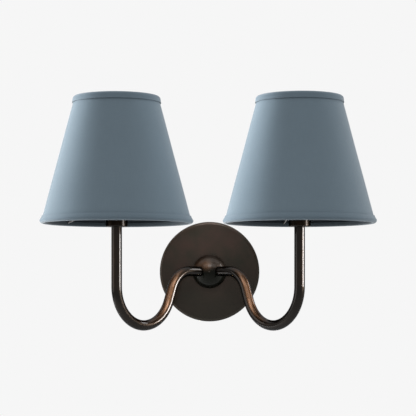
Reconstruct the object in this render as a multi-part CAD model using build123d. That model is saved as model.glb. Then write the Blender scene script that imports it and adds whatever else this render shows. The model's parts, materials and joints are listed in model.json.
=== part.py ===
from build123d import *
import os
from math import atan2, cos, radians, sin, sqrt, tan

# Double arm wall sconce, in millimetres. X is to the right seen from the front, Y points into the
# wall and Z is up. The wall is the plane Y = 0, and the origin is the centre of the mounting
# bracket's back face, on the axis of the hub.

# ---- Driving sizes ---------------------------------------------------------------------------

# Clearances
thread_clearance = 0.1      # between a plain stud and its plain hole, in place of thread crests
glue_gap = 0.05             # between layers that are glued or wrapped together
seat_clearance = 0.1        # between flat faces of pieces that turn on each other
free_clearance = 0.5        # around a piece that only stands inside another

# Canopy, the round plate on the wall
canopy_diameter = 127.0
canopy_depth = 22.0
canopy_wall = 1.2
canopy_edge_radius = 3.5

# Mounting bracket behind the canopy
bracket_width = 16.0
bracket_thickness = 1.5
bracket_ear_height = 13.0
bracket_bend_radius = 1.0
bracket_rim_clearance = 0.8
slot_spacing = 88.9
slot_width = 4.8
slot_length = 14.0
bracket_centre_hole_radius = 5.2
ground_screw_offset = 20.0
set_screw_height = 8.0      # from the wall to the set screws' axis
set_screw_radius = 2.0
set_screw_length = 8.0
set_screw_hex_radius = 1.0
set_screw_hex_depth = 2.0

# Small fasteners
ground_screw_radius = 1.9
ground_head_radius = 4.0
ground_head_height = 2.0
driver_slot_width = 1.0
driver_slot_depth = 0.7
eyelet_thickness = 0.8
eyelet_band = 2.2
ground_wire_radius = 0.8
ground_wire_bend = 2.4
ground_tail_length = 2.6
plate_screw_radius = 1.5
plate_screw_head_radius = 2.8
plate_screw_head_height = 1.4
plate_screw_length = 8.0
plate_screw_offset = 11.5

# Hub: a turned dome, a threaded plate in its back, and the nipple that holds it to the canopy
dome_radius = 21.5          # at its foot
dome_height = 19.5          # from the foot to the crown
dome_step_height = 1.5
dome_step_inset = 1.0
dome_cavity_radius = 8.5
dome_cavity_depth = 6.0
hub_plate_radius = 15.0
hub_plate_thickness = 3.0
nipple_radius = 4.9
nipple_bore_radius = 3.7
nipple_tail = 1.2           # thread that stands out past the lock nut
lock_nut_across_flats = 14.0
lock_nut_thickness = 3.5
lock_washer_radius = 8.5
lock_washer_thickness = 0.8
lock_washer_teeth = 12
lock_washer_notch_width = 1.7
lock_washer_notch_depth = 1.1

# Arms: each lies in an upright plane that is turned from the wall about the hub's upright axis
shade_spacing = 218.0       # between the two upright socket axes
arm_plane_angle = 49.0      # degrees between the wall and an arm's plane
arm_radius = 6.35
arm_wall = 1.35
arm_seat_depth = 1.05       # how far the tube's end is let into the dome
hub_bend_radius = 34.0
cup_bend_radius = 47.0
arm_fall_angle = 68.5       # degrees below level, on the slope between the two bends
arm_drop = 67.0             # from the hub's axis down to the lowest point of the arm's centreline
stud_bore_radius = 3.25
stud_engagement = 10.0      # length of a stud inside the tube
hub_stud_inside = 7.5       # length of a stud inside the dome
hub_bore_lead = 3.0         # length of the dome's threaded hole past the stud's inner end

# Conductors: two to each lampholder, one over the other in the level parts of the arm
wire_radius = 1.0
wire_offset = 1.25
wire_exit_bend = 5.0
wire_hub_bend = 9.0
wire_strip_depth = 10.0     # how far a conductor reaches into its connector
connector_base_radius = 5.5
connector_tip_radius = 3.8
connector_length = 20.0
connector_bore_clearance = 0.3
connector_bore_depth = 13.0
connector_start = 24.0      # from the hub's axis to the connector's mouth
connector_ridges = 10
connector_ridge_depth = 0.5
connector_smooth_length = 6.5   # plain skirt between the mouth and the ridges

# Socket cup and lampholder, with heights counted from the cup's underside
cup_bottom = 51.0           # above the hub's axis
cup_radius = 13.25
cup_wall = 1.0
cup_floor = 1.2
cup_height = 20.0
cup_edge_radius = 1.2
stud_in_holder = 7.2
holder_entry_depth = 8.2
holder_chamber_radius = 4.2
holder_chamber_depth = 3.6
holder_floor_thickness = 3.0
flange_radius = 17.0
flange_thickness = 2.5
skirt_radius = 13.75
skirt_height = 15.5
shell_radius = 6.7
shell_wall = 0.5
shell_clearance = 0.2
shell_rim_gap = 1.0
contact_strip_thickness = 0.6
contact_strip_width = 3.0
contact_height = 3.0
shell_tab_thickness = 0.5
shell_tab_width = 2.4

# Shade ring, the threaded ring that clamps the shade
ring_radius = 17.0          # less than the fitter's, so that it clears the spokes as the shade turns
ring_height = 6.0
ring_grooves = 24
ring_groove_radius = 0.9

# Shade: a cone of fabric on a stiff liner, on two wire rings
shade_bottom = 55.7         # above the hub's axis
shade_bottom_diameter = 180.0
shade_top_diameter = 100.0
shade_height = 150.0
cover_thickness = 0.6
liner_thickness = 0.6
trim_thickness = 0.6
trim_band = 8.0
bottom_wire_radius = 1.5
top_wire_radius = 1.25
fitter_radius = 18.0
fitter_bore_clearance = 0.45
fitter_thickness = 1.6
spoke_count = 3
spoke_radius = 1.2
spoke_first_angle = 30.0
spoke_level_run = 10.0
spoke_bend_radius = 12.0
spoke_hole_clearance = 0.2

# Bulb, a small torpedo lamp
bulb_length = 97.0
bulb_radius = 17.5
bulb_widest_share = 0.42    # of the glass's height, where it is widest
bulb_shoulder_share = 0.6   # of the greatest radius, at the top of the shoulder
bulb_crown_share = 0.5      # of the greatest radius, where the tip begins
bulb_contact_radius = 2.3
bulb_contact_height = 1.2
bulb_insulator_height = 1.7
bulb_insulator_tip_radius = 2.8
bulb_insulator_plug = 2.0
bulb_cap_clearance = 0.25
bulb_cap_wall = 0.5
bulb_cap_length = 16.5
bulb_neck_depth = 5.5
bulb_shoulder_height = 10.0
bulb_tip_height = 14.0
bulb_glass_wall = 0.8
stem_height = 26.0
stem_flare_height = 10.0
stem_flare_land = 1.2
stem_radius = 1.8
filament_radius = 0.35
filament_leg_spacing = 2.4
filament_spread = 12.0
filament_height = 16.0
filament_bend_radius = 2.0

# ---- Places worked out from the sizes --------------------------------------------------------

wall_frame = Plane(origin=(0, 0, 0), x_dir=(1, 0, 0), z_dir=(0, -1, 0))   # local Z leaves the wall
plane_angle = radians(arm_plane_angle)
fall_angle = radians(arm_fall_angle)

canopy_radius = canopy_diameter / 2
canopy_back = canopy_depth - canopy_wall
washer_back = canopy_back - lock_washer_thickness
eyelet_back = washer_back - eyelet_thickness
nut_back = eyelet_back - lock_nut_thickness
nipple_end = nut_back - nipple_tail
hub_plate_front = canopy_depth + hub_plate_thickness
hub_out = canopy_depth + dome_step_height       # from the wall to the dome's foot and the arms' axes
ball_radius = (dome_radius**2 + dome_height**2) / (2 * dome_height)
ball_sink = ball_radius - dome_height           # from the dome's foot back to its ball's centre

arm_reach = shade_spacing / 2 / cos(plane_angle)
arm_end_height = cup_bottom
bends_drop = (hub_bend_radius + cup_bend_radius) * (1 - cos(fall_angle))
slope_length = (arm_drop - bends_drop) / sin(fall_angle)
slope_reach = slope_length * cos(fall_angle)
bends_reach = hub_bend_radius * sin(fall_angle) + cup_bend_radius * (1 + sin(fall_angle))
bend_start = arm_reach - bends_reach - slope_reach
rim_offset = arm_radius + ball_sink * cos(plane_angle)      # square to the arm, from the ball's centre
rim_reach = sqrt(ball_radius**2 - rim_offset**2) - ball_sink * sin(plane_angle)
arm_start = rim_reach - arm_seat_depth
arm_bore_radius = arm_radius - arm_wall
stud_radius = arm_bore_radius - thread_clearance

flange_bottom = cup_height
flange_top = flange_bottom + flange_thickness
holder_top = flange_top + skirt_height
pocket_floor = cup_floor + holder_entry_depth + holder_chamber_depth + holder_floor_thickness
pocket_radius = shell_radius + shell_clearance
contact_top = pocket_floor + contact_height
fitter_bottom = flange_top + seat_clearance
fitter_top = fitter_bottom + fitter_thickness
ring_bottom = fitter_top + seat_clearance

shade_low = shade_bottom - cup_bottom
shade_high = shade_low + shade_height
shade_slope = (shade_bottom_diameter - shade_top_diameter) / 2 / shade_height
shade_tilt = cos(atan2(shade_slope, 1))         # a thickness over this is its width measured level
layers_thickness = cover_thickness + glue_gap + liner_thickness
bulb_base = contact_top + seat_clearance
cap_bottom = bulb_base + bulb_contact_height + bulb_insulator_height
cap_top = cap_bottom + bulb_cap_length
cap_radius = shell_radius - shell_wall - bulb_cap_clearance
neck_radius = cap_radius - bulb_cap_wall - glue_gap


def arm_frame(side):
    """The upright plane of one arm: local X leaves the hub, local Y is up."""
    return Plane(
        origin=(0, -hub_out, 0),
        x_dir=(side * cos(plane_angle), -sin(plane_angle), 0),
        z_dir=(-sin(plane_angle), -side * cos(plane_angle), 0),
    )


def socket_frame(side):
    """The socket's upright axis at the cup's underside: local X points away from the hub."""
    return Plane(
        origin=(side * shade_spacing / 2, -hub_out - arm_reach * sin(plane_angle), cup_bottom),
        x_dir=(side * cos(plane_angle), -sin(plane_angle), 0),
        z_dir=(0, 0, 1),
    )


def place(frame, shape):
    return frame.location * shape


def turned(points):
    """A solid of revolution about local Z from (radius, height) points in order."""
    outline = Polyline(*[(radius, 0, height) for radius, height in points], close=True)
    return revolve(make_face(outline), Axis.Z)


def disc(radius, low, high):
    return Pos(0, 0, low) * Cylinder(radius, high - low, align=(Align.CENTER, Align.CENTER, Align.MIN))


def washer(outer, inner, low, high):
    return disc(outer, low, high) - disc(inner, low, high)


def block(x_span, y_span, z_span):
    low, high = zip(x_span, y_span, z_span)
    size = [b - a for a, b in zip(low, high)]
    return Pos(*low) * Box(*size, align=(Align.MIN, Align.MIN, Align.MIN))


def rod(path, radius):
    """A round rod along a wire or edge."""
    return sweep(Plane(origin=path @ 0, z_dir=path % 0) * Circle(radius), path=path)


# ---- Wall side -------------------------------------------------------------------------------


def make_canopy():
    shell = disc(canopy_radius, 0, canopy_depth)
    shell = fillet(shell.faces().sort_by(Axis.Z)[-1].edges(), canopy_edge_radius)
    hollow = disc(canopy_radius - canopy_wall, 0, canopy_back)
    hollow = fillet(hollow.faces().sort_by(Axis.Z)[-1].edges(), canopy_edge_radius - canopy_wall)
    hole = disc(nipple_radius + thread_clearance, 0, canopy_depth)
    drill = Pos(0, 0, set_screw_height) * Rot(0, 90, 0) * Cylinder(
        set_screw_radius + thread_clearance, canopy_diameter
    )
    return shell - hollow - hole - drill


def make_mounting_bracket():
    half_width = bracket_width / 2
    inner_rim = canopy_radius - canopy_wall
    ear_face = sqrt((inner_rim - bracket_rim_clearance) ** 2 - half_width**2)
    width = (-half_width, half_width)
    body = block((-ear_face, ear_face), width, (0, bracket_ear_height))
    outer_corners = body.edges().filter_by(Axis.Y).group_by(Axis.Z)[0]
    body = fillet(outer_corners, bracket_bend_radius + bracket_thickness)
    inner_face = ear_face - bracket_thickness
    space = block((-inner_face, inner_face), width, (bracket_thickness, bracket_ear_height))
    inner_corners = space.edges().filter_by(Axis.Y).group_by(Axis.Z)[0]
    body -= fillet(inner_corners, bracket_bend_radius)
    for side in (-1, 1):
        slot = extrude(SlotOverall(slot_length, slot_width), bracket_thickness)
        body -= Pos(side * slot_spacing / 2, 0, 0) * slot
    body -= disc(bracket_centre_hole_radius, 0, bracket_thickness)
    ground_hole = disc(ground_screw_radius + thread_clearance, 0, bracket_thickness)
    body -= Pos(-ground_screw_offset, 0, 0) * ground_hole
    drill = Cylinder(set_screw_radius + thread_clearance, canopy_diameter)
    return body - Pos(0, 0, set_screw_height) * Rot(0, 90, 0) * drill


def make_canopy_set_screws():
    """Two grub screws, flush with the canopy's rim, whose inner ends pass through the bracket's ears."""
    screws = []
    for side in (-1, 1):
        screw = disc(set_screw_radius, -set_screw_length, 0)
        screw -= extrude(RegularPolygon(set_screw_hex_radius, 6), -set_screw_hex_depth)
        screws.append(Pos(side * canopy_radius, 0, set_screw_height) * Rot(0, side * 90, 0) * screw)
    return screws


def make_ground_screw():
    head_bottom = bracket_thickness + eyelet_thickness
    head_top = head_bottom + ground_head_height
    screw = disc(ground_screw_radius, 0, head_bottom) + disc(ground_head_radius, head_bottom, head_top)
    half_slot = driver_slot_width / 2
    reach = (-ground_head_radius, ground_head_radius)
    screw -= block(reach, (-half_slot, half_slot), (head_top - driver_slot_depth, head_top))
    return Pos(-ground_screw_offset, 0, 0) * screw


def make_ground_lead():
    """A bare wire from the eyelet under the ground screw to the eyelet under the lock nut."""
    screw_hole = ground_screw_radius + thread_clearance
    nipple_hole = nipple_radius + thread_clearance
    screw_span = (bracket_thickness, bracket_thickness + eyelet_thickness)
    nut_span = (eyelet_back, washer_back)
    tail_width = (-eyelet_band / 2, eyelet_band / 2)
    wire_start = -ground_screw_offset + ground_head_radius + ground_tail_length / 2
    rise_x = -(nipple_hole + eyelet_band + ground_tail_length)
    lead = Pos(-ground_screw_offset, 0, 0) * washer(screw_hole + eyelet_band, screw_hole, *screw_span)
    lead += block((-ground_screw_offset + screw_hole + eyelet_band / 2, wire_start), tail_width, screw_span)
    lead += washer(nipple_hole + eyelet_band, nipple_hole, *nut_span)
    lead += block((rise_x - ground_tail_length / 2, -nipple_hole - eyelet_band / 2), tail_width, nut_span)
    wire_height = screw_span[1] + ground_wire_radius / 2
    path = FilletPolyline(
        (wire_start - ground_tail_length / 2, 0, wire_height),
        (rise_x, 0, wire_height),
        (rise_x, 0, eyelet_back + eyelet_thickness / 2),
        radius=ground_wire_bend,
    )
    return lead + rod(path, ground_wire_radius)


def make_centre_nipple():
    return washer(nipple_radius, nipple_bore_radius, nipple_end, hub_plate_front)


def make_nipple_lock_nut():
    nut = extrude(RegularPolygon(lock_nut_across_flats / 2, 6, major_radius=False), lock_nut_thickness)
    return Pos(0, 0, nut_back) * nut - disc(nipple_radius + thread_clearance, nut_back, eyelet_back)


def make_nipple_lock_washer():
    body = washer(lock_washer_radius, nipple_radius + thread_clearance, washer_back, canopy_back)
    notch = Pos(lock_washer_radius, 0, washer_back) * Box(
        2 * lock_washer_notch_depth,
        lock_washer_notch_width,
        lock_washer_thickness,
        align=(Align.CENTER, Align.CENTER, Align.MIN),
    )
    return body - PolarLocations(0, lock_washer_teeth) * notch


def make_hub_plate():
    plate = washer(hub_plate_radius, nipple_radius + thread_clearance, canopy_depth, hub_plate_front)
    for side in (-1, 1):
        sink = plate_screw_head_radius + thread_clearance
        hole = plate_screw_radius + thread_clearance
        cut = turned(
            [
                (0, canopy_depth),
                (sink, canopy_depth),
                (hole, canopy_depth + plate_screw_head_height),
                (hole, hub_plate_front),
                (0, hub_plate_front),
            ]
        )
        plate -= Pos(0, side * plate_screw_offset, 0) * cut
    return plate


def make_hub_plate_screws():
    """Two countersunk screws that hold the plate in the dome's back."""
    half_slot = driver_slot_width / 2
    head = (-plate_screw_head_radius, plate_screw_head_radius)
    screw = turned(
        [
            (0, canopy_depth),
            (plate_screw_head_radius, canopy_depth),
            (plate_screw_radius, canopy_depth + plate_screw_head_height),
            (plate_screw_radius, canopy_depth + plate_screw_length),
            (0, canopy_depth + plate_screw_length),
        ]
    )
    slot = block(head, (-half_slot, half_slot), (canopy_depth, canopy_depth + driver_slot_depth))
    return [Pos(0, side * plate_screw_offset, 0) * (screw - slot) for side in (-1, 1)]


def make_hub_dome():
    """Part of a ball on a small step, hollow behind, with a seat and a threaded hole for each arm."""
    clear = canopy_radius       # a cut this long leaves the dome on every side
    ball = Pos(0, 0, hub_out - ball_sink) * Sphere(ball_radius)
    body = ball & disc(clear, hub_out, hub_out + clear)
    body += disc(dome_radius - dome_step_inset, canopy_depth, hub_out)
    body -= disc(hub_plate_radius + thread_clearance, canopy_depth, hub_plate_front)
    body -= disc(dome_cavity_radius, canopy_depth, hub_plate_front + dome_cavity_depth)
    for side in (-1, 1):
        hole = disc(plate_screw_radius + thread_clearance, canopy_depth, canopy_depth + plate_screw_length)
        body -= Pos(0, side * plate_screw_offset, 0) * hole
    dome = place(wall_frame, body)
    for side in (-1, 1):
        bore_start = arm_start - hub_stud_inside - hub_bore_lead
        hole = Rot(0, 90, 0) * disc(arm_bore_radius, bore_start, clear)
        seat = Rot(0, 90, 0) * disc(arm_radius + thread_clearance, arm_start, clear)
        dome -= place(arm_frame(side), hole + seat)
    return dome


# ---- Arms and conductors ---------------------------------------------------------------------


def arm_route(offset, start, end_height):
    """Centreline in the arm's plane, moved sideways by offset: level, down, round and straight up."""
    level = Line((start, offset), (bend_start, offset))
    fall = JernArc(level @ 1, level % 1, hub_bend_radius + offset, -arm_fall_angle)
    slope = Line(fall @ 1, fall @ 1 + slope_length * (fall % 1))
    rise = JernArc(slope @ 1, slope % 1, cup_bend_radius - offset, arm_fall_angle + 90)
    leg = Line(rise @ 1, ((rise @ 1).X, end_height))
    return Wire([level, fall, slope, rise, leg])


def make_arm(side):
    route = place(arm_frame(side), arm_route(0, arm_start, arm_end_height))
    return rod(route, arm_radius) - rod(route, arm_bore_radius)


def make_hub_stud(side):
    stud = washer(stud_radius, stud_bore_radius, arm_start - hub_stud_inside, arm_start + stud_engagement)
    return place(arm_frame(side), Rot(0, 90, 0) * stud)


def make_socket_stud(side):
    top = cup_floor + stud_in_holder
    return place(socket_frame(side), washer(stud_radius, stud_bore_radius, -stud_engagement, top))


def make_conductor(side, level):
    """One insulated conductor, from its connector behind the canopy to the lampholder's pocket.

    level is 1 for the upper conductor in the arm's level part and -1 for the lower one."""
    x = side * wire_offset
    z = level * wire_offset
    back = -(nipple_end - thread_clearance - wire_exit_bend)
    front = back - wire_exit_bend
    crossing = wire_offset / cos(plane_angle)
    turn = wire_hub_bend * tan((radians(90) - plane_angle) / 2)
    turn_start = -hub_out - wire_offset * tan(plane_angle) + turn
    drop_end = Vector(x, back, z + level * wire_exit_bend)
    drop = Line((x, back, level * (connector_start + wire_strip_depth)), drop_end)
    exit_bend = TangentArc(drop_end, (x, front, z), tangent=(0, 0, -level))
    nipple_run = Line((x, front, z), (x, turn_start, z))
    frame = arm_frame(side)
    arm_run = place(frame, arm_route(z, crossing + turn, arm_end_height + pocket_floor))
    hub_bend = TangentArc((x, turn_start, z), arm_run @ 0, tangent=(0, -1, 0))
    return rod(Wire([drop, exit_bend, nipple_run, hub_bend, *arm_run.edges()]), wire_radius)


def make_wire_connectors():
    """Two twist-on connectors, one above and one below the hub's axis, each over one pair of conductors."""
    bore = wire_offset + wire_radius + connector_bore_clearance
    body = loft(
        [
            Circle(connector_base_radius),
            Pos(0, 0, connector_length) * Circle(connector_tip_radius),
        ]
    )
    groove = Pos(connector_base_radius, 0, 0) * disc(
        connector_ridge_depth, connector_smooth_length, connector_length
    )
    body -= PolarLocations(0, connector_ridges) * groove
    body -= disc(bore, 0, connector_bore_depth)
    back = nipple_end - thread_clearance - wire_exit_bend
    return [
        Pos(0, level * connector_start, back) * Rot(-level * 90, 0, 0) * body for level in (-1, 1)
    ]


# ---- Socket ----------------------------------------------------------------------------------


def make_socket_cup(side):
    cup = disc(cup_radius, 0, cup_height)
    cup = fillet(cup.faces().sort_by(Axis.Z)[0].edges(), cup_edge_radius)
    cup -= disc(cup_radius - cup_wall, cup_floor, cup_height)
    cup -= disc(stud_radius + thread_clearance, 0, cup_floor)
    return place(socket_frame(side), cup)


def make_lampholder(side):
    base_radius = cup_radius - cup_wall - free_clearance
    entry_radius = stud_radius + thread_clearance
    entry_top = cup_floor + holder_entry_depth
    chamber_top = entry_top + holder_chamber_depth
    body = turned(
        [
            (entry_radius, cup_floor),
            (base_radius, cup_floor),
            (base_radius, flange_bottom),
            (flange_radius, flange_bottom),
            (flange_radius, flange_top),
            (skirt_radius, flange_top),
            (skirt_radius, holder_top),
            (pocket_radius, holder_top),
            (pocket_radius, pocket_floor),
            (0, pocket_floor),
            (0, chamber_top),
            (holder_chamber_radius, chamber_top),
            (holder_chamber_radius, entry_top),
            (entry_radius, entry_top),
        ]
    )
    wire_hole = wire_radius + thread_clearance
    wire_slot = SlotOverall(2 * (wire_offset + wire_hole), 2 * wire_hole)
    body -= Pos(0, 0, chamber_top) * extrude(wire_slot, holder_floor_thickness)
    return place(socket_frame(side), body)


def make_screw_shell(side):
    """The threaded shell, with a tab that turns in over the lower conductor's end."""
    shell_bottom = contact_top + seat_clearance
    shell = washer(shell_radius, shell_radius - shell_wall, shell_bottom, holder_top - shell_rim_gap)
    half_tab = shell_tab_width / 2
    inner = shell_radius - shell_tab_thickness
    width = (-half_tab, half_tab)
    reach = sqrt(shell_radius**2 - half_tab**2)
    height = (pocket_floor, shell_bottom + shell_tab_width)
    drop = block((inner - shell_tab_thickness, reach), width, height)
    drop &= disc(shell_radius, 0, holder_top)
    drop -= disc(inner, pocket_floor + shell_tab_thickness, holder_top)
    foot = block(
        (wire_offset - wire_radius / 2, inner), width, (pocket_floor, pocket_floor + shell_tab_thickness)
    )
    return place(socket_frame(side), shell + drop + foot)


def make_centre_contact(side):
    """A sprung strip like a C: its foot lies on the upper conductor's end, its tongue meets the bulb."""
    half_width = contact_strip_width / 2
    outer = sqrt(pocket_radius**2 - half_width**2) - shell_clearance
    profile = Polyline(
        (-wire_offset + wire_radius - thread_clearance, pocket_floor),
        (-outer, pocket_floor),
        (-outer, contact_top),
        (bulb_contact_radius, contact_top),
        (bulb_contact_radius, contact_top - contact_strip_thickness),
        (-outer + contact_strip_thickness, contact_top - contact_strip_thickness),
        (-outer + contact_strip_thickness, pocket_floor + contact_strip_thickness),
        (-wire_offset + wire_radius - thread_clearance, pocket_floor + contact_strip_thickness),
        close=True,
    )
    strip = extrude(Plane.XZ * make_face(profile), half_width, both=True)
    return place(socket_frame(side), strip)


def make_shade_ring(side):
    """The knurled ring on the lampholder's skirt."""
    top = ring_bottom + ring_height
    ring = washer(ring_radius, skirt_radius + thread_clearance, ring_bottom, top)
    groove = Pos(ring_radius, 0, 0) * disc(ring_groove_radius, ring_bottom, top)
    return place(socket_frame(side), ring - PolarLocations(0, ring_grooves) * groove)


# ---- Shade -----------------------------------------------------------------------------------


def cone_radius(height, inset):
    """Radius of the cover's outer face at a height, or of a face that lies inset inside it."""
    return shade_bottom_diameter / 2 - (height - shade_low) * shade_slope - inset / shade_tilt


def ring_wire_centre(height, wire):
    """Radius of a ring wire's centreline: the wire lies against the liner's inner face."""
    return cone_radius(height, layers_thickness + glue_gap + wire)


def roll_bore(wire):
    """Inner radius of the trim that is rolled round a ring wire and the edges of the layers."""
    return (wire + (wire + layers_thickness + glue_gap) / shade_tilt) / 2 + glue_gap


bottom_roll_height = shade_low + roll_bore(bottom_wire_radius) + trim_thickness
top_roll_height = shade_high - roll_bore(top_wire_radius) - trim_thickness


def layer(outer_inset, thickness):
    """One conical layer between the two ring wires."""
    low = bottom_roll_height
    high = top_roll_height
    inner_inset = outer_inset + thickness
    return turned(
        [
            (cone_radius(low, outer_inset), low),
            (cone_radius(high, outer_inset), high),
            (cone_radius(high, inner_inset), high),
            (cone_radius(low, inner_inset), low),
        ]
    )


def make_ring_wire(side, height, wire):
    centre = ring_wire_centre(height, wire)
    return place(socket_frame(side), Pos(0, 0, height) * Torus(centre, wire))


def spoke_solids(radius):
    """Three wires from the fitter's rim out and down to the bottom ring wire."""
    start_height = (fitter_bottom + fitter_top) / 2
    end_height = bottom_roll_height
    end_radius = ring_wire_centre(end_height, bottom_wire_radius)
    path = FilletPolyline(
        (fitter_radius, 0, start_height),
        (fitter_radius + spoke_level_run, 0, start_height),
        (end_radius, 0, end_height),
        radius=spoke_bend_radius,
    )
    wire = rod(path, radius)
    step = 360 / spoke_count
    return [Rot(0, 0, spoke_first_angle + step * index) * wire for index in range(spoke_count)]


def make_shade_spokes(side):
    hoop_radius = ring_wire_centre(bottom_roll_height, bottom_wire_radius)
    hoop = Pos(0, 0, bottom_roll_height) * Torus(hoop_radius, bottom_wire_radius)
    return [place(socket_frame(side), wire - hoop) for wire in spoke_solids(spoke_radius)]


def make_shade_fitter(side):
    bore = skirt_radius + fitter_bore_clearance
    return place(socket_frame(side), washer(fitter_radius, bore, fitter_bottom, fitter_top))


def make_shade_cover(side):
    return place(socket_frame(side), layer(0, cover_thickness))


def make_shade_liner(side):
    liner = layer(cover_thickness + glue_gap, liner_thickness)
    for wire in spoke_solids(spoke_radius + spoke_hole_clearance):
        liner -= wire
    return place(socket_frame(side), liner)


def trim_profile(height, wire, band_low, band_high):
    """A rolled hem: a ring round the wire and the layers' edges, and a flat band on the cover."""
    bore = roll_bore(wire)
    centre = Pos(cone_radius(height, 0) + glue_gap - bore, height)
    roll = centre * Circle(bore + trim_thickness) - centre * Circle(bore)
    band = make_face(
        Polyline(
            (cone_radius(band_low, -glue_gap), band_low),
            (cone_radius(band_low, -glue_gap - trim_thickness), band_low),
            (cone_radius(band_high, -glue_gap - trim_thickness), band_high),
            (cone_radius(band_high, -glue_gap), band_high),
            close=True,
        )
    )
    layers = make_face(
        Polyline(
            (cone_radius(bottom_roll_height, -glue_gap), bottom_roll_height),
            (cone_radius(top_roll_height, -glue_gap), top_roll_height),
            (cone_radius(top_roll_height, layers_thickness + glue_gap), top_roll_height),
            (cone_radius(bottom_roll_height, layers_thickness + glue_gap), bottom_roll_height),
            close=True,
        )
    )
    return roll + band - layers


def make_bottom_trim(side):
    band_top = shade_low + trim_band
    profile = trim_profile(bottom_roll_height, bottom_wire_radius, bottom_roll_height, band_top)
    trim = revolve(Plane.XZ * profile, Axis.Z)
    for wire in spoke_solids(spoke_radius + spoke_hole_clearance):
        trim -= wire
    return place(socket_frame(side), trim)


def make_top_trim(side):
    profile = trim_profile(top_roll_height, top_wire_radius, shade_high - trim_band, top_roll_height)
    return place(socket_frame(side), revolve(Plane.XZ * profile, Axis.Z))


# ---- Bulb ------------------------------------------------------------------------------------


def make_bulb_contact(side):
    tip = disc(bulb_contact_radius, bulb_base, bulb_base + bulb_contact_height)
    return place(socket_frame(side), tip)


def make_bulb_insulator(side):
    low = bulb_base + bulb_contact_height
    plug = neck_radius
    body = turned(
        [
            (0, low),
            (bulb_insulator_tip_radius, low),
            (plug, cap_bottom),
            (plug, cap_bottom + bulb_insulator_plug),
            (0, cap_bottom + bulb_insulator_plug),
        ]
    )
    return place(socket_frame(side), body)


def make_bulb_cap(side):
    return place(socket_frame(side), washer(cap_radius, cap_radius - bulb_cap_wall, cap_bottom, cap_top))


def bulb_outline(inset):
    """Half outline of the glass from the neck to the tip, moved in by inset."""
    tip = bulb_base + bulb_length
    widest = cap_top + (tip - cap_top) * bulb_widest_share
    neck = neck_radius - inset
    wide = bulb_radius - inset
    foot = (neck, cap_top - bulb_neck_depth)
    collar = (neck, cap_top + glue_gap)
    shoulder = Spline(
        collar,
        (wide * bulb_shoulder_share, cap_top + bulb_shoulder_height),
        (wide, widest),
        tangents=[(0, 1), (0, 1)],
    )
    crown = Spline(
        (wide, widest),
        (wide * bulb_crown_share, tip - bulb_tip_height - inset / 2),
        (0, tip - inset),
        tangents=[(0, 1), (-1, 0)],
    )
    lines = Curve() + [Line(foot, collar), shoulder, crown]
    return lines, foot, (0, tip - inset)


def bulb_body(inset):
    lines, foot, tip = bulb_outline(inset)
    closed = lines + [Line(tip, (0, foot[1])), Line((0, foot[1]), foot)]
    return revolve(Plane.XZ * make_face(closed), Axis.Z)


def make_bulb_glass(side):
    return place(socket_frame(side), bulb_body(0) - bulb_body(bulb_glass_wall))


def make_bulb_stem(side):
    """The glass foot inside the neck, flared to meet the neck and drawn out to a post."""
    low = cap_top - bulb_neck_depth
    flare = neck_radius - bulb_glass_wall - glue_gap
    body = turned(
        [
            (0, low),
            (flare, low),
            (flare, low + stem_flare_land),
            (stem_radius, low + stem_flare_height),
            (stem_radius, low + stem_height),
            (0, low + stem_height),
        ]
    )
    return place(socket_frame(side), body)


def make_bulb_filament(side):
    """Filament and its two support wires, one bent wire on top of the stem."""
    low = cap_top - bulb_neck_depth + stem_height
    half_leg = filament_leg_spacing / 2
    half_spread = filament_spread / 2
    path = FilletPolyline(
        (-half_leg, 0, low),
        (-half_spread, 0, low + filament_height),
        (half_spread, 0, low + filament_height),
        (half_leg, 0, low),
        radius=filament_bend_radius,
    )
    legs = rod(path, filament_radius)
    return place(socket_frame(side), legs - disc(stem_radius, low - stem_height, low))


# ---- Nodes -----------------------------------------------------------------------------------

wall_pieces = {
    "canopy": make_canopy,
    "mounting_bracket": make_mounting_bracket,
    "canopy_set_screws": make_canopy_set_screws,
    "ground_screw": make_ground_screw,
    "ground_lead": make_ground_lead,
    "centre_nipple": make_centre_nipple,
    "nipple_lock_nut": make_nipple_lock_nut,
    "nipple_lock_washer": make_nipple_lock_washer,
    "hub_plate": make_hub_plate,
    "hub_plate_screws": make_hub_plate_screws,
    "wire_connectors": make_wire_connectors,
}

paired_pieces = {
    "arm": make_arm,
    "hub_stud": make_hub_stud,
    "socket_stud": make_socket_stud,
    "live_conductor": lambda side: make_conductor(side, 1),
    "neutral_conductor": lambda side: make_conductor(side, -1),
    "socket_cup": make_socket_cup,
    "lampholder": make_lampholder,
    "screw_shell": make_screw_shell,
    "centre_contact": make_centre_contact,
    "shade_ring": make_shade_ring,
    "shade_cover": make_shade_cover,
    "shade_liner": make_shade_liner,
    "top_trim": make_top_trim,
    "bottom_trim": make_bottom_trim,
    "top_ring_wire": lambda side: make_ring_wire(side, top_roll_height, top_wire_radius),
    "bottom_ring_wire": lambda side: make_ring_wire(side, bottom_roll_height, bottom_wire_radius),
    "shade_fitter": make_shade_fitter,
    "shade_spokes": make_shade_spokes,
    "bulb_contact": make_bulb_contact,
    "bulb_insulator": make_bulb_insulator,
    "bulb_cap": make_bulb_cap,
    "bulb_glass": make_bulb_glass,
    "bulb_stem": make_bulb_stem,
    "bulb_filament": make_bulb_filament,
}


def as_list(made):
    return made if isinstance(made, list) else [made]


def write(node, shapes):
    solids = [solid for shape in shapes for solid in shape.solids()]
    export_step(Compound(children=solids), f"parts/{node}.step")


os.makedirs("parts", exist_ok=True)
for node, make in wall_pieces.items():
    write(node, [place(wall_frame, piece) for piece in as_list(make())])
write("hub_dome", [make_hub_dome()])
for side_name, side in (("left", -1), ("right", 1)):
    for node, make in paired_pieces.items():
        write(f"{node}_{side_name}", as_list(make(side)))
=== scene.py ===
import json
from math import atan2, cos, hypot, pi, radians, sin, tau

import bpy
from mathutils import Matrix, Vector, noise


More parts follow.
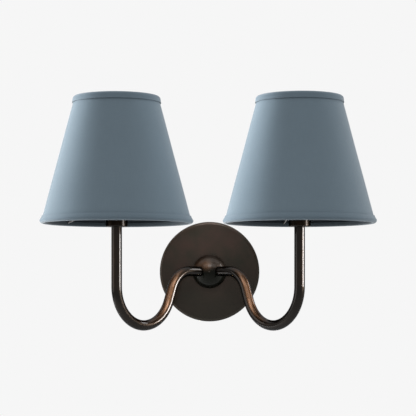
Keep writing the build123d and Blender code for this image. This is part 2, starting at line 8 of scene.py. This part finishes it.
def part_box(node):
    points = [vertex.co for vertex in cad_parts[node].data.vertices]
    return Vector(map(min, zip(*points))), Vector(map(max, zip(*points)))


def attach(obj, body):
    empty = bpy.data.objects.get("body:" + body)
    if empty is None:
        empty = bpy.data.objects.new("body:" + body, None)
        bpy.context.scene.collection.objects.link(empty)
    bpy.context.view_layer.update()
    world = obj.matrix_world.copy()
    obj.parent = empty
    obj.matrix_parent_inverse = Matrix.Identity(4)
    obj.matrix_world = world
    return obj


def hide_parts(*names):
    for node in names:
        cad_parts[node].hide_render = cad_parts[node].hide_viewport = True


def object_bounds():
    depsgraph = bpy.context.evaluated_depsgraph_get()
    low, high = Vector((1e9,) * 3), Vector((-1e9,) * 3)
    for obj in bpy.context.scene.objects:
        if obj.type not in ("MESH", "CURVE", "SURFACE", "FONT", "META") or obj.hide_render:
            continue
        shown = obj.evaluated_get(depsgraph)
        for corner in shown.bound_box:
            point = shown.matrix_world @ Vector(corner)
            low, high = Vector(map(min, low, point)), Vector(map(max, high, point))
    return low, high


# Double arm wall sconce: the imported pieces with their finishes, and the shades' cloth and hems as
# modelled meshes. Metres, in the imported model's frame.

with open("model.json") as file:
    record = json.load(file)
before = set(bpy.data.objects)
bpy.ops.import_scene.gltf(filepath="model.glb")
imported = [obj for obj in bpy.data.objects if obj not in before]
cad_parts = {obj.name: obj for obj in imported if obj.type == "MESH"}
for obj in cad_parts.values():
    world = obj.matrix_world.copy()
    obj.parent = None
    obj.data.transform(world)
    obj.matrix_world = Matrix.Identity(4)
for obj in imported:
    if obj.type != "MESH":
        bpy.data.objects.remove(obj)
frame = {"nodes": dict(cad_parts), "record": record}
cad_low, cad_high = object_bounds()

SIDES = ("left", "right")
MM = 0.001

# ---- The photograph's camera ---------------------------------------------------------------------

PHOTO_SIZE = 416            # pixels, both ways
FOCAL_LENGTH = 1547.0       # pixels
HORIZON_ROW = 299.5         # pixels from the top
SENSOR = 36.0               # millimetres
CAMERA_PLACE = (0.0276, -1.992, -0.0355)
CAMERA_TURN = 0.015         # radians towards the left arm


def make_camera():
    data = bpy.data.cameras.new("photo_camera")
    data.sensor_width = SENSOR
    data.lens = SENSOR * FOCAL_LENGTH / PHOTO_SIZE
    data.shift_y = (HORIZON_ROW - PHOTO_SIZE / 2) / PHOTO_SIZE
    camera = bpy.data.objects.new("photo_camera", data)
    camera.location = CAMERA_PLACE
    camera.rotation_euler = (pi / 2, 0, CAMERA_TURN)
    bpy.context.scene.collection.objects.link(camera)
    bpy.context.scene.camera = camera


# ---- Stage and light -----------------------------------------------------------------------------

BACKGROUND = (0.922, 0.922, 0.922, 1)
AMBIENT_ABOVE = 1.0         # strength of the light from the upper half of the room
AMBIENT_BELOW = 0.35
AMBIENT_BLEND = 0.4         # height on the unit sphere, up and down, over which they blend
FLOOR_DROP = 0.45           # below the object's lowest point
FLOOR_RADIUS = 2.2
FLOOR_STEPS = 96
FLOOR_COLOUR = 0.86         # as seen, and in reflections
FLOOR_BOUNCE = 0.35         # as it lights the object
FLOOR_ROUGHNESS = 0.9
LAMP_DISTANCE = 1.5         # from the object's middle
INSIDE_THE_SHADES = ("shade_liner", "shade_spokes", "shade_fitter")


def background_rays(tree):
    """1 for the rays that show the background: straight, in a reflection and through glass."""
    path = tree.nodes.new("ShaderNodeLightPath")
    shown = path.outputs["Is Camera Ray"]
    for kind in ("Is Glossy Ray", "Is Transmission Ray"):
        either = tree.nodes.new("ShaderNodeMath")
        either.operation = "MAXIMUM"
        tree.links.new(shown, either.inputs[0])
        tree.links.new(path.outputs[kind], either.inputs[1])
        shown = either.outputs[0]
    return shown


def make_world():
    world = bpy.data.worlds.new("studio")
    bpy.context.scene.world = world
    world.use_nodes = True
    tree = world.node_tree
    tree.nodes.clear()
    place = tree.nodes.new("ShaderNodeTexCoord")
    split = tree.nodes.new("ShaderNodeSeparateXYZ")
    tree.links.new(place.outputs["Generated"], split.inputs[0])
    lift = tree.nodes.new("ShaderNodeMapRange")
    lift.inputs["From Min"].default_value = -AMBIENT_BLEND
    lift.inputs["From Max"].default_value = AMBIENT_BLEND
    lift.inputs["To Min"].default_value = AMBIENT_BELOW
    lift.inputs["To Max"].default_value = AMBIENT_ABOVE
    tree.links.new(split.outputs["Z"], lift.inputs["Value"])
    ambient = tree.nodes.new("ShaderNodeBackground")
    ambient.inputs["Color"].default_value = BACKGROUND
    tree.links.new(lift.outputs["Result"], ambient.inputs["Strength"])
    shown = tree.nodes.new("ShaderNodeBackground")
    shown.inputs["Color"].default_value = BACKGROUND
    mix = tree.nodes.new("ShaderNodeMixShader")
    tree.links.new(background_rays(tree), mix.inputs["Fac"])
    tree.links.new(ambient.outputs[0], mix.inputs[1])
    tree.links.new(shown.outputs[0], mix.inputs[2])
    output = tree.nodes.new("ShaderNodeOutputWorld")
    tree.links.new(mix.outputs[0], output.inputs["Surface"])


def softbox(
    name, azimuth, elevation, size, brightness, shines="both", only=None, distance=LAMP_DISTANCE
):
    """An area lamp aimed at the object's middle. Azimuth 0 is the camera's side, 90 the right.

    shines is matt for a lamp that lights surfaces but doesn't show in them, gloss for a lamp that
    only shows in them, or both. only is a collection of the pieces that it lights."""
    data = bpy.data.lights.new(name, "AREA")
    data.shape = "RECTANGLE"
    data.size, data.size_y = size
    data.energy = brightness * pi * size[0] * size[1]
    lamp = bpy.data.objects.new(name, data)
    turn, lift = radians(azimuth), radians(elevation)
    away = Vector((sin(turn) * cos(lift), -cos(turn) * cos(lift), sin(lift)))
    lamp.location = (cad_low + cad_high) / 2 + away * distance
    lamp.rotation_euler = away.to_track_quat("Z", "Y").to_euler()
    lamp.visible_glossy = shines != "matt"
    lamp.visible_diffuse = shines != "gloss"
    lamp.visible_camera = False
    lamp.light_linking.receiver_collection = only
    bpy.context.scene.collection.objects.link(lamp)
    return lamp


def linked(name, pieces, state):
    """A collection for light linking, with all its pieces included or excluded."""
    group = bpy.data.collections.new(name)
    for piece in pieces:
        group.objects.link(piece)
    for member in group.collection_objects:
        member.light_linking.link_state = state
    return group


def pieces_of(side):
    ending = f"_{side}"
    return [item for item in bpy.data.objects if item.type == "MESH" and item.name.endswith(ending)]


def pieces_in(slot):
    rows = frame["record"]["subparts"]
    return [frame["nodes"][row["node"]] for row in rows if row["material_slot"] == slot]


def side_lamps(name, near, far, azimuths, elevation, size, strengths):
    """A lamp beside the object, and its twin for the far shade, which the near shade doesn't block.

    Neither lights the insides of the shades."""
    near_pieces, far_pieces = pieces_of(near), pieces_of(far)
    near_inside = [piece for piece in near_pieces if piece.name.startswith(INSIDE_THE_SHADES)]
    far_outside = [piece for piece in far_pieces if not piece.name.startswith(INSIDE_THE_SHADES)]
    left_out = linked(f"{name}_leaves_out", far_pieces + near_inside, "EXCLUDE")
    lit = linked(f"{name}_twin_lights", far_outside, "INCLUDE")
    twin_name = f"{name}_past_the_near_shade"
    softbox(name, azimuths[0], elevation, size, strengths[0], "matt", left_out)
    twin = softbox(twin_name, azimuths[1], elevation, size, strengths[1], "matt", lit)
    passed = linked(f"{name}_twin_passes", near_pieces, "EXCLUDE")
    twin.light_linking.blocker_collection = passed


def make_lights():
    """Matt lamps light both shades from the sides, and gloss lamps make the bronze's highlights."""
    side_lamps(
        "key", near="left", far="right", azimuths=(-107, -115), elevation=6,
        size=(0.55, 1.2), strengths=(30.0, 40.0),
    )
    side_lamps(
        "fill", near="right", far="left", azimuths=(110, 109), elevation=6,
        size=(0.7, 1.2), strengths=(4.8, 5.8),
    )
    bronzes = pieces_in("bronze")
    but_canopy = [piece for piece in bronzes if piece.name != "canopy"]
    metal = linked("bronze_pieces", bronzes, "INCLUDE")
    tubes = linked("bronze_but_the_canopy", but_canopy, "INCLUDE")
    cups = linked("cups", [frame["nodes"][f"socket_cup_{side}"] for side in SIDES], "INCLUDE")
    passed = linked("left_and_right_let_pass", pieces_of("left") + pieces_of("right"), "EXCLUDE")
    softbox("window_at_the_right", 81, 3, (0.54, 0.34), 105.0, "gloss", tubes)
    softbox("window_behind_right", 112, 26, (0.50, 0.40), 16.0, "gloss", tubes)
    softbox("strip_at_the_left", -78, 4, (0.9, 0.9), 3.0, "gloss", metal)
    softbox("front_above", 8, 40, (0.90, 0.50), 11.0, "gloss", metal)
    room = softbox("room_above", 0, 46, (2.6, 0.7), 4.0, "gloss", tubes)
    room.light_linking.blocker_collection = passed
    under = softbox("window_under_the_shades", 74, 3, (0.35, 0.50), 20.0, "gloss", cups)
    under.light_linking.blocker_collection = passed
    softbox("sky", 0, 89, (2.6, 2.6), 1.2, "gloss", metal, distance=1.1)
    softbox("overhead", 0, 78, (0.9, 0.9), 1.6)


def make_floor():
    turns = [tau * step / FLOOR_STEPS for step in range(FLOOR_STEPS)]
    rim = [(FLOOR_RADIUS * cos(turn), FLOOR_RADIUS * sin(turn), 0) for turn in turns]
    mesh = bpy.data.meshes.new("floor")
    mesh.from_pydata(rim, [], [tuple(range(FLOOR_STEPS))])
    floor = bpy.data.objects.new("floor", mesh)
    floor.location = (0, 0, cad_low.z - FLOOR_DROP)
    bpy.context.scene.collection.objects.link(floor)
    material = bpy.data.materials.new("floor")
    material.use_nodes = True
    tree = material.node_tree
    shader = tree.nodes["Principled BSDF"]
    shade = tree.nodes.new("ShaderNodeMapRange")
    shade.inputs["To Min"].default_value = FLOOR_BOUNCE
    shade.inputs["To Max"].default_value = FLOOR_COLOUR
    tree.links.new(background_rays(tree), shade.inputs["Value"])
    tree.links.new(shade.outputs["Result"], shader.inputs["Base Color"])
    shader.inputs["Roughness"].default_value = FLOOR_ROUGHNESS
    mesh.materials.append(material)


# ---- Materials -----------------------------------------------------------------------------------

NOISE_RANGE = (0.3, 0.7)            # where most of a noise texture's values lie
NOISE_ROUGHNESS = 0.55

COPPER_RUB_AND_HIGHLIGHT = (0.085, 0.042, 0.021)      # copper where the bronze is rubbed, and a painted highlight where light falls on it
LEAN_WANDER = 0.07                  # how far streaks shift the edge of the copper
RUB_AND_HIGHLIGHT_STARTS = (-0.08, 0.25)         # how far up the surface faces where the copper sets in
LACQUER_ROUGHNESS = 0.08

# Ranges that the copper, rubbed wear and painted highlight, keeps to: from, to, its share before
# and its share after
RUB_AND_HIGHLIGHT_FADES = (0.42, 0.80, 1.0, 0.25)            # by how far up the surface faces
SLOPES_START = (0.028, 0.042, 0.12, 1.0)        # by metres from the middle
SLOPES_END = (0.060, 0.085, 1.0, 0.2)
INNER_FADE = (-0.58, -0.25, 0.1, 1.0)           # by how far the surface faces outward
OUTER_FADE = (0.50, 0.78, 1.0, 0.1)
LEFT_SIDE = (0.15, -0.25, 0.0, 1.0)             # by how far it faces right

THREAD_PITCH = 0.45 * MM
WEAVE_SHADOW = (0.25, 0.8)          # height of the weave from where it is dark to where it is lit
SLUB_SHARE = 0.55                   # of the cloth's tone: the rest is clouds
CLOTH_TONE_RANGE = (0.36, 0.64)     # where most of that tone's values lie
CLOTH_ROUGHNESS = (0.35, 0.65, 0.74, 0.86)      # by its tone: from, to, roughness at each
HEM_PAINTED_SHADE_START = (13.8 * MM, 15.5 * MM)  # from the hem band's edge along the hem to where the painted shade inside the shade fades in
# Painted shade: the darker colour of the hem where it turns in, inside the shade
HEM_PAINTED_SHADE = (0.029, 0.042, 0.052)


class Graph:
    """A material's nodes, made one call at a time."""

    def __init__(self, name):
        self.material = bpy.data.materials.new(name)
        self.material.use_nodes = True
        self.tree = self.material.node_tree
        self.shader = self.tree.nodes["Principled BSDF"]
        self.coordinates = self.tree.nodes.new("ShaderNodeTexCoord")

    def node(self, kind, **settings):
        made = self.tree.nodes.new(kind)
        for key, value in settings.items():
            setattr(made, key, value)
        return made

    def join(self, source, target):
        self.tree.links.new(source, target)

    def set(self, **values):
        """Fixed values on the shader's own sockets: Coat_Weight=0.2 sets Coat Weight."""
        for key, value in values.items():
            self.shader.inputs[key.replace("_", " ")].default_value = value

    def part(self, source, axis):
        """The X, Y or Z of one of the texture coordinates."""
        split = self.node("ShaderNodeSeparateXYZ")
        self.join(self.coordinates.outputs[source], split.inputs[0])
        return split.outputs[axis]

    def facing(self, axis):
        """How far the surface faces along X, Y or Z, from -1 to 1."""
        return self.part("Normal", axis)

    def place(self, axis):
        """Where on the object a point is, in metres along X, Y or Z."""
        return self.part("Object", axis)

    def noise(self, scale, detail=3.0, stretch=(1, 1, 1), source="Object"):
        mapping = self.node("ShaderNodeMapping")
        mapping.inputs["Scale"].default_value = stretch
        self.join(self.coordinates.outputs[source], mapping.inputs["Vector"])
        texture = self.node("ShaderNodeTexNoise")
        texture.inputs["Scale"].default_value = scale
        texture.inputs["Detail"].default_value = detail
        texture.inputs["Roughness"].default_value = NOISE_ROUGHNESS
        self.join(mapping.outputs["Vector"], texture.inputs["Vector"])
        return texture.outputs["Fac"]

    def math(self, operation, *values):
        made = self.node("ShaderNodeMath", operation=operation)
        for socket, value in zip(made.inputs, values):
            if isinstance(value, (int, float)):
                socket.default_value = value
            else:
                self.join(value, socket)
        return made.outputs[0]

    def times(self, first, second):
        return self.math("MULTIPLY", first, second)

    def between(self, value, low, high, first, last):
        """value from low..high to first..last, held at the ends."""
        made = self.node("ShaderNodeMapRange")
        made.inputs["From Min"].default_value = low
        made.inputs["From Max"].default_value = high
        made.inputs["To Min"].default_value = first
        made.inputs["To Max"].default_value = last
        self.join(value, made.inputs["Value"])
        return made.outputs["Result"]

    def about(self, value, centre, reach):
        """A noise turned into values from centre - reach to centre + reach."""
        return self.between(value, *NOISE_RANGE, centre - reach, centre + reach)

    def blend(self, value, dark, light, stops=NOISE_RANGE):
        """A noise turned into colours from dark to light."""
        made = self.node("ShaderNodeValToRGB")
        for element, place, colour in zip(made.color_ramp.elements, stops, (dark, light)):
            element.position = place
            element.color = (*colour, 1)
        self.join(value, made.inputs["Fac"])
        return made.outputs["Color"]

    def mix(self, factor, first, second):
        """Two colours mixed: each is a socket or (r, g, b)."""
        made = self.node("ShaderNodeMix", data_type="RGBA")
        sockets = [socket for socket in made.inputs if socket.type == "RGBA"]
        self.join(factor, made.inputs[0])
        for socket, value in zip(sockets, (first, second)):
            if isinstance(value, tuple):
                socket.default_value = (*value, 1)
            else:
                self.join(value, socket)
        return next(socket for socket in made.outputs if socket.type == "RGBA")

    def bump(self, height, distance, strength):
        made = self.node("ShaderNodeBump")
        made.inputs["Distance"].default_value = distance
        made.inputs["Strength"].default_value = strength
        self.join(height, made.inputs["Height"])
        self.join(made.outputs["Normal"], self.shader.inputs["Normal"])

    def slopes(self):
        """1 on the front of the arms' slopes, where the copper's rubbed wear and painted highlight
        sit, and less on the rest.
        """
        x = self.place("X")
        away = self.math("ABSOLUTE", x)
        facing_out = self.times(self.facing("X"), self.math("SIGN", x))
        along = self.times(self.between(away, *SLOPES_START), self.between(away, *SLOPES_END))
        front = self.between(facing_out, *INNER_FADE)
        side = self.between(facing_out, *OUTER_FADE)
        return self.times(along, self.times(front, side))

    def colour(self, socket):
        self.join(socket, self.shader.inputs["Base Color"])

    def roughness(self, socket):
        self.join(socket, self.shader.inputs["Roughness"])


def bronze(
    name, dark, light, rub_and_highlight_share, roughness=0.34, edge=0.3, lacquer=0.2, painted_shade_below=None, rub_and_highlight_where="slopes"
):
    """Near-black bronze under a thin lacquer. Where it leans up, rub_and_highlight_share of it, 0
    to 1,
    is copper: rubbed wear, and a painted highlight where light from above would fall.

    edge is how bright it stays where it is seen at a glancing angle, and lacquer is the coat's
    weight. painted_shade_below is (place or facing, from, to, colour): a painted shade, the colour
    towards its lower side. rub_and_highlight_where is slopes for the arms' slopes, or left for the
    left side of any part."""
    g = Graph(name)
    cloud = g.noise(scale=38, detail=5)
    streak = g.noise(scale=120, detail=4, stretch=(1, 1, 0.35))
    # Copper where the surface leans up towards the light: rubbed wear, and a painted highlight
    lean = g.math("ADD", g.facing("Z"), g.about(streak, 0.0, LEAN_WANDER))
    onset = g.between(lean, *RUB_AND_HIGHLIGHT_STARTS, 0.0, rub_and_highlight_share)
    wane = g.between(lean, *RUB_AND_HIGHLIGHT_FADES)
    # Where the copper's rubbed wear and painted highlight may go: the arms' slopes, or a part's
    # left side
    held = g.slopes() if rub_and_highlight_where == "slopes" else g.between(g.facing("X"), *LEFT_SIDE)
    rub_and_highlight = g.times(g.times(onset, wane), held)
    ground = g.blend(cloud, dark, light)
    # Painted shade: darker towards the lower side, by height or by how far the surface faces down
    if painted_shade_below:
        measure, start, end, colour = painted_shade_below
        height = g.facing("Z") if measure == "facing" else g.place("Z")
        ground = g.mix(g.between(height, start, end, 0.0, 1.0), ground, colour)
    g.colour(g.mix(rub_and_highlight, ground, COPPER_RUB_AND_HIGHLIGHT))
    g.roughness(g.about(cloud, roughness, reach=0.05))
    g.bump(g.noise(scale=900, detail=2), distance=0.02 * MM, strength=0.4)
    g.set(
        Metallic=1.0, Specular_Tint=(edge, edge, edge, 1),
        Coat_Weight=lacquer, Coat_Roughness=LACQUER_ROUGHNESS,
    )
    return g.material


def plated_metal(name, dark, light, roughness):
    """A plain metal with a brushed grain and cloudy tarnish."""
    g = Graph(name)
    tarnish = g.noise(scale=60, detail=4)
    grain = g.noise(scale=700, detail=2, stretch=(1, 1, 0.06))
    g.colour(g.blend(tarnish, dark, light))
    g.roughness(g.about(grain, roughness, reach=0.07))
    g.bump(grain, distance=0.02 * MM, strength=0.6)
    g.set(Metallic=1.0)
    return g.material


def moulded(name, dark, light, roughness):
    """A moulded or enamelled surface with slight mottling and a fine moulding texture."""
    g = Graph(name)
    cloud = g.noise(scale=90)
    g.colour(g.blend(cloud, dark, light))
    g.roughness(g.about(cloud, roughness, reach=0.06))
    g.bump(g.noise(scale=1500, detail=2), distance=0.01 * MM, strength=0.5)
    g.set(Specular_IOR_Level=0.5)
    return g.material


def woven(name, dark, light, painted_shade_inside=None):
    """Plain weave cloth. It reads the piece's UV map, which is in metres along and up the cloth.

    painted_shade_inside is the colour of a painted shade where a hem turns in, inside the shade."""
    g = Graph(name)
    along, up = g.part("UV", "X"), g.part("UV", "Y")
    turns = pi / THREAD_PITCH
    warp = g.math("ABSOLUTE", g.math("SINE", g.times(along, turns)))
    weft = g.math("ABSOLUTE", g.math("SINE", g.times(up, turns)))
    weave = g.times(g.math("ADD", warp, weft), 0.5)
    slub_up = g.noise(scale=260, stretch=(6, 0.25, 1), source="UV")
    slub_round = g.noise(scale=260, stretch=(0.25, 6, 1), source="UV")
    slub = g.times(g.math("ADD", slub_up, slub_round), 0.5)
    cloud = g.noise(scale=9, source="UV")
    tone = g.math("ADD", g.times(slub, SLUB_SHARE), g.times(cloud, 1 - SLUB_SHARE))
    lit = g.blend(tone, dark, light, CLOTH_TONE_RANGE)
    ground = g.mix(g.between(weave, *WEAVE_SHADOW, 0.0, 1.0), dark, lit)
    # Painted shade on the hem where it turns in, inside the shade
    if painted_shade_inside:
        ground = g.mix(g.between(up, *HEM_PAINTED_SHADE_START, 0.0, 1.0), ground, painted_shade_inside)
    g.colour(ground)
    g.roughness(g.between(tone, *CLOTH_ROUGHNESS))
    height = g.math("ADD", weave, g.times(slub, 0.5))
    g.bump(height, distance=0.08 * MM, strength=0.45)
    g.set(Specular_IOR_Level=0.35, Sheen_Weight=0.25, Sheen_Roughness=0.45)
    return g.material


def clear_glass(name, tint):
    g = Graph(name)
    cloud = g.noise(scale=40, detail=2)
    g.colour(g.blend(cloud, tint, (1, 1, 1)))
    g.roughness(g.about(cloud, centre=0.02, reach=0.02))
    g.bump(cloud, distance=0.05 * MM, strength=0.3)
    g.set(Transmission_Weight=1.0, IOR=1.5)
    return g.material


def make_materials():
    """Every finish by name: kind, then its dark and light colour and what else it takes."""
    rows = {
        "bronze": (bronze, (0.0056, 0.0044, 0.0034), (0.0092, 0.0070, 0.0054), 1.0),
        "zinc_steel": (plated_metal, (0.42, 0.42, 0.40), (0.60, 0.60, 0.58), 0.34),
        "green_steel": (plated_metal, (0.05, 0.20, 0.08), (0.09, 0.32, 0.14), 0.38),
        "copper": (plated_metal, (0.50, 0.24, 0.13), (0.72, 0.40, 0.25), 0.30),
        "brass": (plated_metal, (0.48, 0.34, 0.13), (0.70, 0.53, 0.25), 0.28),
        "connector_plastic": (moulded, (0.55, 0.16, 0.03), (0.68, 0.22, 0.05), 0.42),
        "black_insulation": (moulded, (0.012, 0.012, 0.012), (0.03, 0.03, 0.03), 0.45),
        "white_insulation": (moulded, (0.62, 0.61, 0.57), (0.76, 0.75, 0.72), 0.45),
        "phenolic": (moulded, (0.010, 0.009, 0.008), (0.026, 0.022, 0.019), 0.32),
        "slate_fabric": (woven, (0.100, 0.140, 0.171), (0.128, 0.174, 0.210)),
        "slate_trim": (woven, (0.090, 0.127, 0.157), (0.118, 0.162, 0.197), HEM_PAINTED_SHADE),
        "dark_liner": (moulded, (0.019, 0.027, 0.036), (0.028, 0.038, 0.050), 0.62),
        "frame_wire": (moulded, (0.018, 0.014, 0.012), (0.034, 0.027, 0.023), 0.36),
        "solder": (plated_metal, (0.40, 0.40, 0.41), (0.62, 0.62, 0.63), 0.45),
        "black_glass": (moulded, (0.006, 0.006, 0.007), (0.016, 0.016, 0.018), 0.12),
        "nickel_cap": (plated_metal, (0.46, 0.40, 0.26), (0.66, 0.58, 0.40), 0.26),
        "bulb_glass": (clear_glass, (0.95, 0.97, 0.97)),
        "stem_glass": (clear_glass, (0.86, 0.92, 0.92)),
        "filament_wire": (plated_metal, (0.16, 0.16, 0.17), (0.32, 0.32, 0.34), 0.40),
    }
    made = {name: kind(name, *values) for name, (kind, *values) in rows.items()}
    # The dome: copper on its upper left, rubbed wear and a painted highlight, and painted shade
    # where it faces down
    made["bronze_dome"] = bronze(
        "bronze_dome", dark=(0.0120, 0.0090, 0.0070), light=(0.019, 0.0138, 0.0105), rub_and_highlight_share=0.35,
        roughness=0.48, edge=1.0, lacquer=0.12, rub_and_highlight_where="left",
        painted_shade_below=("facing", 0.22, 0.02, (0.0028, 0.0030, 0.0018)),
    )
    # The canopy: painted shade, darker towards its bottom
    made["bronze_canopy"] = bronze(
        "bronze_canopy", dark=(0.047, 0.029, 0.023), light=(0.028, 0.0255, 0.0185), rub_and_highlight_share=0.0,
        roughness=0.5, edge=0.1, lacquer=0.15,
        painted_shade_below=("place", 0.03, -0.06, (0.021, 0.0185, 0.0145)),
    )
    return made


# Pieces whose finish differs a little from the rest of their slot
OWN_FINISH = {"canopy": "bronze_canopy", "hub_dome": "bronze_dome"}


def dress_nodes(materials):
    for row in frame["record"]["subparts"]:
        node = frame["nodes"][row["node"]]
        finish = materials[OWN_FINISH.get(row["node"], row["material_slot"])]
        if not node.material_slots:
            node.data.materials.append(finish)
        for holder in node.material_slots:
            holder.link = "OBJECT"
            holder.material = finish


# ---- Shades --------------------------------------------------------------------------------------

CLOTH_THICKNESS = 0.55 * MM
CLOTH_INSET = 0.05 * MM     # from the cover's outer face
HEM_THICKNESS = 0.6 * MM
HEM_BAND = {"top": 7.0 * MM, "bottom": 8.0 * MM}        # height of the band on the outside
HEM_INSIDE = 1.5 * MM       # how far the hem comes up inside
HEM_STAND = 0.5 * MM        # from the cover's face to the band's back
HEM_EASE = 0.15 * MM        # how much further it stands where the roll begins
EASE_HEIGHT = 3.2 * MM      # from the ring wire to where the roll begins
ROLL_GAP = 0.5 * MM         # slack of the roll about the wire and the cloth
ROLL_SPREAD = {"top": 0.6 * MM, "bottom": 1.25 * MM}    # how far the roll bulges past the band
SEAM_WIDTH = 9.0 * MM
SEAM_RISE = 0.35 * MM
SEAM_EDGE = 0.8 * MM        # over which the lap rises
SEAM_ANGLE = pi / 2         # at the back, facing the wall
SEAM_RADIUS = 0.07          # the shade's mean radius, by which the seam's width is measured
RIPPLE = 0.12 * MM
HEM_RIPPLE = 0.06 * MM
SHARP_ANGLE = radians(50)
RIM_TOLERANCE = 0.1 * MM
ROUND_STEPS = 224
CLOTH_STEPS = 30
ROLL_STEPS = 14


class Cone:
    """One shade's cone, from its cover and its two trims."""

    def __init__(self, side):
        bottom_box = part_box(f"bottom_trim_{side}")
        top_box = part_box(f"top_trim_{side}")
        cover_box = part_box(f"shade_cover_{side}")
        self.axis_x = (bottom_box[0].x + bottom_box[1].x) / 2
        self.axis_y = (bottom_box[0].y + bottom_box[1].y) / 2
        self.low, self.high = bottom_box[0].z, top_box[1].z
        self.cover_low, self.cover_high = cover_box[0].z, cover_box[1].z
        self.cover_radius = (cover_box[1].x - cover_box[0].x) / 2
        vertices = frame["nodes"][f"shade_cover_{side}"].data.vertices
        rim = [v.co for v in vertices if v.co.z > self.cover_high - RIM_TOLERANCE]
        rim_radius = max(hypot(point.x - self.axis_x, point.y - self.axis_y) for point in rim)
        self.slope = (self.cover_radius - rim_radius) / (self.cover_high - self.cover_low)
        self.tilt = cos(atan2(self.slope, 1))

    def radius(self, height, out=0.0):
        """Radius of the cover's outer face at a height, or of a face that stands out from it."""
        return self.cover_radius - (height - self.cover_low) * self.slope + out / self.tilt


def thickened(points, thickness):
    """A closed outline: along a path of (radius, height), and back along it moved to its right."""
    moved = []
    for index, point in enumerate(points):
        before = points[max(index - 1, 0)]
        after = points[min(index + 1, len(points) - 1)]
        run = (after[0] - before[0], after[1] - before[1])
        share = thickness / hypot(*run)
        moved.append((point[0] + run[1] * share, point[1] - run[0] * share))
    return points + moved[::-1]


def revolved(name, cone, outline, stand):
    """A closed ring of cloth about the shade's axis, with a UV map in metres round and along it.

    stand is how far it stands out at an angle and a height. The map's V starts at the outline's
    end and runs back along it."""
    count = len(outline)
    lengths = [0.0]
    for index in range(count):
        a, b = outline[index], outline[(index + 1) % count]
        lengths.append(lengths[-1] + hypot(b[0] - a[0], b[1] - a[1]))
    lengths = [lengths[-1] - length for length in lengths]
    mean_step = tau / ROUND_STEPS * sum(radius for radius, _ in outline) / count
    vertices = []
    for step in range(ROUND_STEPS):
        angle = tau * step / ROUND_STEPS
        for radius, height in outline:
            reach = radius + stand(angle, height)
            x, y = cone.axis_x + reach * cos(angle), cone.axis_y + reach * sin(angle)
            vertices.append((x, y, height))
    faces, coordinates = [], []
    for step in range(ROUND_STEPS):
        start, following = step * count, (step + 1) % ROUND_STEPS * count
        u, next_u = mean_step * step, mean_step * (step + 1)
        for index in range(count):
            other = (index + 1) % count
            faces.append((start + index, following + index, following + other, start + other))
            v, next_v = lengths[index], lengths[index + 1]
            coordinates += [(u, v), (next_u, v), (next_u, next_v), (u, next_v)]
    mesh = bpy.data.meshes.new(name)
    mesh.from_pydata(vertices, [], faces)
    uv = mesh.uv_layers.new(name="cloth")
    for loop, place in zip(uv.data, coordinates):
        loop.uv = place
    mesh.shade_smooth()
    mesh.set_sharp_from_angle(angle=SHARP_ANGLE)
    piece = bpy.data.objects.new(name, mesh)
    bpy.context.scene.collection.objects.link(piece)
    return piece


def wander(angle, height, round_scale, height_scale):
    """Smooth noise round a shade, from -1 to 1."""
    x, y = round_scale * cos(angle), round_scale * sin(angle)
    return noise.noise(Vector((x, y, height * height_scale)))


def cloth_stand(angle, height):
    """How far the cloth stands out: its lapped seam at the back, and a slight ripple."""
    away = abs((angle - SEAM_ANGLE + pi) % tau - pi) * SEAM_RADIUS
    lap = max(0.0, min(1.0, (SEAM_WIDTH / 2 - away) / SEAM_EDGE + 0.5))
    ripple = RIPPLE * wander(angle, height, round_scale=3, height_scale=25)
    return SEAM_RISE * lap * lap * (3 - 2 * lap) + ripple


def hem_stand(angle, height):
    """How far a hem stands out: with the cloth, and a finer ripple of its own."""
    ripple = HEM_RIPPLE * wander(angle, height, round_scale=9, height_scale=60)
    return cloth_stand(angle, height) + ripple


def make_cloth(cone, side):
    rise = (cone.cover_high - cone.cover_low) / CLOTH_STEPS
    heights = [cone.cover_low + rise * step for step in range(CLOTH_STEPS + 1)]
    outer = [(cone.radius(height, -CLOTH_INSET), height) for height in heights]
    back = -CLOTH_INSET - CLOTH_THICKNESS
    inner = [(cone.radius(height, back), height) for height in reversed(heights)]
    return revolved(f"shade_cloth_{side}", cone, outer + inner, cloth_stand)


def hem_path(cone, low_end, inward):
    """The hem's back: along the band to the edge, round the ring wire, and a little way inside.

    inward is 1 at the bottom edge, where the hem comes up inside, and -1 at the top."""
    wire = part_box("bottom_ring_wire_left" if low_end else "top_ring_wire_left")
    half_wire = (wire[1].z - wire[0].z) / 2
    height = (wire[1].z + wire[0].z) / 2
    end_name = "bottom" if low_end else "top"
    edge = cone.low if low_end else cone.high
    band_end = edge + inward * HEM_BAND[end_name]
    ease = height + inward * EASE_HEIGHT
    roll = half_wire + CLOTH_THICKNESS + HEM_THICKNESS + ROLL_GAP
    centre = cone.radius(height, HEM_STAND) + ROLL_SPREAD[end_name] - roll
    path = [
        (cone.radius(band_end, HEM_STAND), band_end),
        (cone.radius(ease, HEM_STAND + HEM_EASE), ease),
    ]
    for step in range(ROLL_STEPS + 1):
        turn = pi * step / ROLL_STEPS
        path.append((centre + roll * cos(turn), height - inward * roll * sin(turn)))
    end = height + inward * HEM_INSIDE
    path.append((centre - roll - (end - height) * cone.slope, end))
    return path


def make_hem(cone, side, low_end):
    inward = 1 if low_end else -1
    name = f"{'bottom' if low_end else 'top'}_hem_{side}"
    outline = thickened(hem_path(cone, low_end, inward), -inward * HEM_THICKNESS)
    return revolved(name, cone, outline, hem_stand)


def make_shade(side, materials):
    cone = Cone(side)
    cloth = make_cloth(cone, side)
    cloth.data.materials.append(materials["slate_fabric"])
    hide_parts(f"shade_cover_{side}")
    hems = []
    for low_end in (False, True):
        hem = make_hem(cone, side, low_end)
        hem.data.materials.append(materials["slate_trim"])
        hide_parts(f"{'bottom' if low_end else 'top'}_trim_{side}")
        hems.append(hem)
    for piece in (cloth, *hems):
        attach(piece, f"shade_{side}")


# ---- Scene ---------------------------------------------------------------------------------------

make_camera()
make_world()
make_floor()
finishes = make_materials()
dress_nodes(finishes)
for shade_side in SIDES:
    make_shade(shade_side, finishes)
make_lights()
bpy.context.scene.view_settings.view_transform = "Standard"
